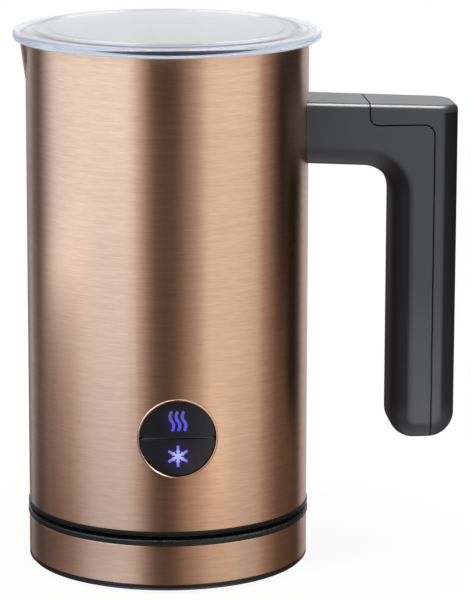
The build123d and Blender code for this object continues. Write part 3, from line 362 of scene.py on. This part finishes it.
def bump(wire, height, strength, depth):
    """Normal from a height; the depth is in metres."""
    return wire.node("ShaderNodeBump", None, {"Strength": strength, "Distance": depth, "Height": height})


mould_scale, mould_depth, mould_rough = even(2600), 0.00006, 0.06
flow_scale = even(45)


def moulded(dark, pale, rough, spread, strength=0.12, gloss=0.5):
    """Moulded plastic: fine spark-eroded grain, cloudy sheen and a hint of flow in the colour."""
    def paint(wire):
        fine = grain(wire, mould_scale, 2.0)
        cloud = grain(wire, flow_scale, 4.0)
        return {
            "Base Color": cloud.mix(dark, pale),
            "Specular IOR Level": gloss,
            "Roughness": cloud * spread + fine * mould_rough + (rough - spread / 2),
            "Normal": bump(wire, fine, strength, mould_depth),
        }
    return paint


satin = ((0.007, 0.007, 0.0075, 1), (0.011, 0.011, 0.0115, 1))
wear(finish("satin_black", moulded(*satin, rough=0.24, spread=0.08)),
     "base_bottom_cover", "base_top_cover")
wear(finish("trim_black", moulded(*satin, rough=0.24, spread=0.08, gloss=0.1)),
     "jug_bottom_cover")
rubber = ((0.012, 0.012, 0.012, 1), (0.03, 0.03, 0.03, 1))
wear(finish("black_rubber", moulded(*rubber, rough=0.75, spread=0.15, strength=0.3)),
     "base_foot", "cord_gland", "bottom_seal")


# Copper sheet: the base's band and the jug's shell. Steel coated a copper colour, brushed round and
# round, so the fine lines run level and blur what it reflects up and down.
dark_line, pale_line = (0.755, 0.448, 0.288, 1), (0.945, 0.585, 0.382, 1)
hair_scale, stroke_scale, patch_scale = (170, 170, 2500), (34, 34, 900), even(14)
hair_share, stroke_share = 0.7, 0.3
copper_rough, copper_spread = 0.31, 0.03


def brushed_copper(wire):
    hair = grain(wire, hair_scale, 3.0, 0.6)
    stroke = grain(wire, stroke_scale, 2.0)
    cloud = grain(wire, patch_scale, 2.0)
    shade = (hair * hair_share + stroke * stroke_share).ease(0.2, 0.8)
    return {
        "Base Color": shade.mix(dark_line, pale_line),
        "Metallic": 1.0,
        "Roughness": copper_rough - shade * copper_spread + cloud * copper_spread,
        "Anisotropic": 0.9,
        "Anisotropic Rotation": 0.25,
        "Normal": bump(wire, stroke, 0.03, 0.00005),
    }


wear(finish("brushed_copper", brushed_copper), "base_band", "outer_shell")


# Power connector: brass contacts in black sockets, all round, so the jug can be set down at any turn.
# The lower half is held in the base's top cover and the upper half in the jug's bottom cover.
def metal(dark, pale, scale, rough):
    """Plain metal with fine marks."""
    def paint(wire):
        mark = grain(wire, scale, 3.0)
        return {
            "Base Color": mark.mix(dark, pale),
            "Metallic": 1.0,
            "Roughness": mark * 0.18 + rough,
            "Normal": bump(wire, mark, 0.06, 0.00003),
        }
    return paint


brass_colours = ((0.68, 0.49, 0.22, 1), (0.82, 0.64, 0.34, 1))
brass = finish("brass", metal(*brass_colours, scale=(300, 300, 1500), rough=0.2))
wear(brass, "base_contacts", "connector_pin", "connector_ring")
plain_black = ((0.05, 0.05, 0.052, 1), (0.075, 0.075, 0.078, 1))
inner_black = finish("inner_black", moulded(*plain_black, rough=0.5, spread=0.12))
wear(inner_black, "base_socket", "jug_connector")


# Fastenings: the screws of the base, the jug's bottom, the works and the handle, the studs welded
# under the pot and the plate behind the handle. Turned and pressed steel, left bare.
steel_colours = ((0.52, 0.52, 0.53, 1), (0.68, 0.68, 0.69, 1))
turning_scale = (60, 60, 3200)


def turned_steel(wire):
    line = grain(wire, turning_scale, 3.0)
    return {
        "Base Color": line.mix(*steel_colours),
        "Metallic": 1.0,
        "Roughness": line * 0.2 + 0.2,
        "Normal": bump(wire, line, 0.08, 0.00003),
    }


steel = finish("turned_steel", turned_steel)
wear(steel, "base_screws", "bottom_screws", "tie_screws", "motor_screws", "board_screws",
     "handle_screws", "pot_studs", "handle_plate")


# Pot: drawn steel with a dark non-stick coating, sprayed on, so it has pale flecks and a low sheen.
# The coating stops below the lip, where the steel is bare and polished. The spindle is bare too.
coat_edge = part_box("milk_pot")[1].z - 0.007
coat_blur = 0.0003
coat_colour, fleck_colour = (0.035, 0.035, 0.037, 1), (0.13, 0.13, 0.135, 1)
lip_colours = ((0.66, 0.66, 0.67, 1), (0.78, 0.78, 0.79, 1))
coat_rough, lip_polish = 0.32, 0.2


def nonstick(wire):
    fleck = grain(wire, even(900), 1.0)
    cloud = grain(wire, even(60), 3.0)
    _, _, z = wire.place().xyz()
    bare = z.ease(coat_edge - coat_blur, coat_edge + coat_blur)
    coated = fleck.ease(0.66, 0.72).mix(coat_colour, fleck_colour)
    return {
        "Base Color": bare.mix(coated, cloud.mix(*lip_colours)),
        "Roughness": cloud * 0.15 + coat_rough - bare * lip_polish,
        "Metallic": bare,
        "Normal": bump(wire, fleck, 0.1, 0.00005),
    }


wear(finish("nonstick", nonstick), "milk_pot")
wear(steel, "pot_spindle")


# Works under the pot: heater plate and element, motor with its magnets and brushes, the carrier that
# spins the drive magnets, and the control board. All are screwed to one black moulded chassis.
aluminium_colours = ((0.7, 0.71, 0.72, 1), (0.82, 0.83, 0.84, 1))
wear(finish("aluminium", metal(*aluminium_colours, scale=(40, 1200, 40), rough=0.25)),
     "heat_spreader")
wear(steel, "heating_element", "temperature_sensor", "thermal_fuse", "motor_can", "motor_armature")
ferrite_colours = ((0.06, 0.06, 0.06, 1), (0.1, 0.1, 0.1, 1))
wear(finish("ferrite", moulded(*ferrite_colours, rough=0.6, spread=0.2)),
     "motor_magnets", "motor_brushes")
wear(brass, "motor_bushings")
nickel_colours = ((0.62, 0.61, 0.58, 1), (0.74, 0.73, 0.7, 1))
nickel = finish("nickel", metal(*nickel_colours, scale=even(500), rough=0.12))
wear(nickel, "drive_magnets")
wear(inner_black, "chassis", "magnet_carrier", "motor_endcap", "board_parts")
board_colours = ((0.012, 0.1, 0.04, 1), (0.03, 0.2, 0.08, 1))


def lacquered_board(wire):
    cloud = grain(wire, even(300), 2.0)
    lines = wire.node("ShaderNodeTexWave", {"bands_direction": "DIAGONAL"}, {
        "Vector": wire.place(), "Scale": 260.0, "Distortion": 6.0,
    }, 1)
    return {
        "Base Color": lines.ease(0.45, 0.55).mix(*board_colours),
        "Roughness": cloud * 0.15 + 0.25,
    }


board_green = finish("lacquered_board", lacquered_board)
wear(board_green, "control_board")


# Buttons: two half-round caps of polished black plastic in a thin copper ring, which a small lamp
# lights alone. Lights on the board behind shine through the symbols and spill a little into the
# plastic round them.
bezel_low, bezel_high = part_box("button_bezel")
button_middle = (bezel_low + bezel_high) / 2
icon_drop = 0.0064
spill_start, spill_end = 0.0015, 0.0095
icon_core = 0.0005
hot_lamp_drop, hot_reach, cold_reach = 0.0025, 0.0065, 0.0036
bezel_colours = ((0.7, 0.43, 0.3, 1), (0.8, 0.53, 0.39, 1))
cap_colours = ((0.008, 0.008, 0.009, 1), (0.014, 0.013, 0.015, 1))
unlit, icon_colour = (0, 0, 0, 1), (0.03, 0.03, 0.08, 1)
hot_spill, cold_spill = (0.004, 0.004, 0.028, 1), (0.005, 0.005, 0.036, 1)
hot_blue, hot_dim = (0.062, 0.05, 0.74, 1), (0.07, 0.075, 0.34, 1)
cold_blue, cold_dim = (0.42, 0.48, 1.0, 1), (0.17, 0.15, 0.8, 1)
lens_colours = ((0.7, 0.7, 0.75, 1), (0.85, 0.85, 0.9, 1))


def polished_copper(wire):
    hair = grain(wire, even(900), 3.0)
    return {
        "Base Color": hair.mix(*bezel_colours),
        "Metallic": 1.0,
        "Roughness": hair * 0.1 + 0.16,
        "Normal": bump(wire, hair, 0.05, 0.00003),
    }


def from_icon(wire, side, below=0.0):
    """Distance in metres from a symbol's middle, or from a point below it, on the button's face."""
    x, _, z = wire.place().xyz()
    return distance(x, z - (button_middle.z + side * icon_drop - below))


def lit_cap(side, glow):
    """Black cap with light spilling round the symbol."""
    def paint(wire):
        haze = grain(wire, even(120), 3.0)
        spill = 1 - from_icon(wire, side).ease(spill_start, spill_end)
        return {
            "Base Color": haze.mix(*cap_colours),
            "Roughness": haze * 0.1 + 0.16,
            "Specular IOR Level": 0.3,
            "Coat Weight": 0.1,
            "Coat Roughness": 0.08,
            "Emission Color": (spill * spill).mix(unlit, glow),
            "Emission Strength": 1.0,
        }
    return paint


def lit_icon(side, middle, edge, below, reach):
    """Symbol lit from behind, brightest in front of its lamp."""
    def paint(wire):
        spread = from_icon(wire, side, below).ease(icon_core, reach)
        cells = grain(wire, even(1500), 2.0)
        return {
            "Base Color": icon_colour,
            "Roughness": cells * 0.1 + 0.25,
            "Emission Color": spread.mix(middle, edge),
            "Emission Strength": 1.0,
        }
    return paint


def shine_on(group, pieces, *lamps):
    """Let lamps light these pieces alone."""
    lit = bpy.data.collections.new(group)
    for piece in pieces:
        lit.objects.link(nodes[piece])
    for lamp in lamps:
        lamp.light_linking.receiver_collection = lit


wear(finish("bezel_copper", polished_copper), "button_bezel")
shine_on("bezel_only", ["button_bezel"],
         soft_box("bezel_lamp", (-0.025, -0.1, 0.016), button_middle, 0.03, 0.03, 0.014))
wear(finish("hot_cap", lit_cap(1, hot_spill)), "hot_button")
wear(finish("cold_cap", lit_cap(-1, cold_spill)), "cold_button")
wear(finish("hot_light", lit_icon(1, hot_blue, hot_dim, hot_lamp_drop, hot_reach)), "hot_icon")
wear(finish("cold_light", lit_icon(-1, cold_blue, cold_dim, 0.0, cold_reach)), "cold_icon")
wear(finish("led_lens", moulded(*lens_colours, rough=0.3, spread=0.1)), "button_leds")
wear(board_green, "button_board")
wear(inner_black, "button_housing", "hot_plunger", "cold_plunger", "tact_switches")


# Handle: two black mouldings that meet at a thin seam, screwed to the jug from inside. Satin plastic,
# a little cloudy in its sheen, with painted shade, darker and less glossy, on the grip's roundings and
# a painted shadow along the seam. Two lamps light it alone: one its top edge, one the lower end of the
# grip.
handle_parts = ["handle_inner", "handle_cover"]
handle_low, handle_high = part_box("handle_inner")
side_taper = 0.0315
top_slope = 0.0384
crown_low, crown_high = handle_high.z - 0.0029, handle_high.z - 0.0022
grip_start, grip_full = 0.072, 0.084
rounding_edge = (0.00002, 0.00035)
bottom_fade, bottom_share = (handle_low.z + 0.001, handle_low.z + 0.016), 0.25
seam_front = 0.072
seam_level = handle_high.z - 0.0088
seam_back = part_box("handle_cover")[1].x - 0.0093
seam_inner_bend, seam_outer_bend = 0.0033, 0.004
seam_edge = (0.0002, 0.0004)
handle_colours = ((0.013, 0.013, 0.0145, 1), (0.018, 0.018, 0.02, 1))
# Darker plastic for the painted shade on the grip's roundings and the painted shadow along the seam.
painted_shade_colours = ((0.005, 0.005, 0.0056, 1), (0.0075, 0.0075, 0.0083, 1))


def from_seam(x, z):
    """Distance in metres from the seam, which drops from the top, runs level, then goes down the grip."""
    before, above, inside = seam_front - x, seam_level - z, seam_back - x
    corner = distance((before + seam_inner_bend).most(0.0), (above + seam_inner_bend).most(0.0))
    cover = before.most(above).least(-seam_inner_bend) + corner
    corner = distance((seam_outer_bend - cover).most(0.0), (seam_outer_bend - inside).most(0.0))
    return abs(cover.least(inside).most(seam_outer_bend) - corner)


def painted_shade_share(wire):
    """Share of painted shade: behind the grip's flat sides, least at its bottom, and painted shadow on
    the seam.
    """
    x, y, z = wire.place().xyz()
    out = x - handle_low.x
    behind_side = handle_high.y - out * side_taper - abs(y)
    crown = (z + out * top_slope).ease(crown_low, crown_high)
    rounding = behind_side.ease(*rounding_edge) * (1 - crown) * x.ease(grip_start, grip_full)
    rounding = rounding * (z.ease(*bottom_fade) * (1 - bottom_share) + bottom_share)
    # A thin painted shadow follows the seam.
    return rounding.most(1 - from_seam(x, z).ease(*seam_edge))


wear(finish(
    "handle_black",
    moulded(*handle_colours, rough=0.3, spread=0.06, strength=0.08, gloss=0.6),
    moulded(*painted_shade_colours, rough=0.36, spread=0.06, strength=0.08, gloss=0.1),
    painted_shade_share,
), *handle_parts)
edge_lamp = soft_box("edge_lamp", (0.1, -0.15, 0.75), (0.08, 0.0, 0.16), 0.6, 0.4, 12.0)
grip_lamp = soft_box("grip_lamp", (0.13, -0.1, 0.005), (0.098, -0.01, 0.09), 0.05, 0.05, 0.42)
grip_lamp.visible_glossy = False
shine_on("handle_only", handle_parts, edge_lamp, grip_lamp)


# Whisk: a spring coil round a nylon hub, on a bush that turns on the spindle.
# Four small plated magnets under the hub follow the motor's magnets through the pot's floor.
nylon_colours = ((0.035, 0.035, 0.036, 1), (0.055, 0.055, 0.057, 1))
wear(finish("nylon", moulded(*nylon_colours, rough=0.42, spread=0.1)), "whisk_bush", "whisk_hub")
wear(steel, "whisk_coil")
wear(nickel, "whisk_magnets")


# Lid: one clear moulding that drops into the pot, with a soft gasket in its groove. Clear plastic,
# faintly hazed by fine scratches from wiping. A painted glow lights its edge and the step, with painted
# highlight lines on the step, a painted shadow line at the step's foot, and a painted crescent of shade
# for the dark pot seen through the front of the wall.
flange_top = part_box("lid")[1].z - 0.0009
slope_edge, flange_edge, wall_edge = (0.0472, 0.0482), (0.0496, 0.0512), (0.0535, 0.0549)
front_fade = (-0.048, -0.022)
foot_ring = (0.0494, 0.0501, 0.0506, 0.0513)
front_ring, back_ring = (0.046, 0.047, 0.0486, 0.0496), (0.039, 0.044, 0.0456, 0.0474)
back_fade, back_share = (0.018, 0.028), 0.85
line_sides = (0.006, 0.018, 0.033, 0.042)
line_rise = (flange_top + 0.0001, flange_top + 0.0004)
crescent_drop, crescent_half_height, crescent_half_width = 0.0013, 0.0009, 0.031
crescent_edge, crescent_fade = (-0.0001, 0.0003), (-0.045, -0.03)
slope_turn, wall_turn = (-0.03, 0.04), (-0.055, -0.03)
hazed, wiped, flange_tint = (0.86, 0.88, 0.93, 1), (0.9, 0.92, 0.96, 1), (0.8, 0.81, 0.86, 1)
# Painted shade: a dark line at the step's foot and a crescent on the front of the wall.
foot_shade, crescent_shade = (0.3, 0.31, 0.42, 1), (0.06, 0.075, 0.1, 1)
# Painted glow, brighter on the right, and the painted highlight of the step's lines.
painted_glow_left_slope, painted_glow_right_slope = (0.07, 0.07, 0.085, 1), (0.15, 0.15, 0.17, 1)
painted_glow_left_wall, painted_glow_right_wall = (0.1, 0.12, 0.17, 1), (0.2, 0.225, 0.285, 1)
painted_glow_front_flange, painted_highlight_step = (0.1, 0.1, 0.125, 1), (0.3, 0.3, 0.33, 1)
silicone_colours = ((0.8, 0.82, 0.86, 1), (0.88, 0.9, 0.93, 1))


def clear_plastic(wire):
    wipe = grain(wire, (60, 700, 60), 3.0)
    x, y, z = wire.place().xyz()
    out = distance(x, y)
    slope, flange, wall = out.ease(*slope_edge), out.ease(*flange_edge), out.ease(*wall_edge)
    front = 1 - y.ease(*front_fade)
    # Painted shadow line at the step's foot, in front.
    foot = out.band(*foot_ring) * front
    # Painted highlight lines along the step, in front and behind.
    front_line = out.band(*front_ring) * front
    back_line = out.band(*back_ring) * y.ease(*back_fade) * back_share
    line = (front_line + back_line) * abs(x).band(*line_sides) * z.ease(*line_rise)
    # Painted crescent of shade on the front of the wall.
    swing = x * (1 / crescent_half_width)
    off = abs(flange_top - crescent_drop - z)
    crescent = ((1 - swing * swing) * crescent_half_height - off).ease(*crescent_edge)
    crescent = crescent * wall * (1 - y.ease(*crescent_fade))
    tint = foot.mix(flange.mix(wipe.mix(hazed, wiped), flange_tint), foot_shade)
    # Painted glow, then the painted highlight lines; none at the step's foot or in the crescent.
    glow = slope.mix(unlit, x.ease(*slope_turn).mix(painted_glow_left_slope, painted_glow_right_slope))
    glow = flange.mix(glow, front.mix(unlit, painted_glow_front_flange))
    glow = wall.mix(glow, x.ease(*wall_turn).mix(painted_glow_left_wall, painted_glow_right_wall))
    glow = line.mix(foot.mix(glow, unlit), painted_highlight_step)
    return {
        "Base Color": crescent.mix(tint, crescent_shade),
        "Roughness": wipe * 0.06 + 0.06,
        "IOR": 1.5,
        "Transmission Weight": 0.78,
        "Emission Color": crescent.mix(glow, unlit),
        "Emission Strength": 1.0,
    }


def soft_silicone(wire):
    cloud = grain(wire, even(200), 3.0)
    return {
        "Base Color": cloud.mix(*silicone_colours),
        "Roughness": cloud * 0.15 + 0.4,
        "Normal": bump(wire, cloud, 0.05, 0.0001),
    }


wear(finish("clear_plastic", clear_plastic), "lid")
wear(finish("soft_silicone", soft_silicone), "lid_gasket")
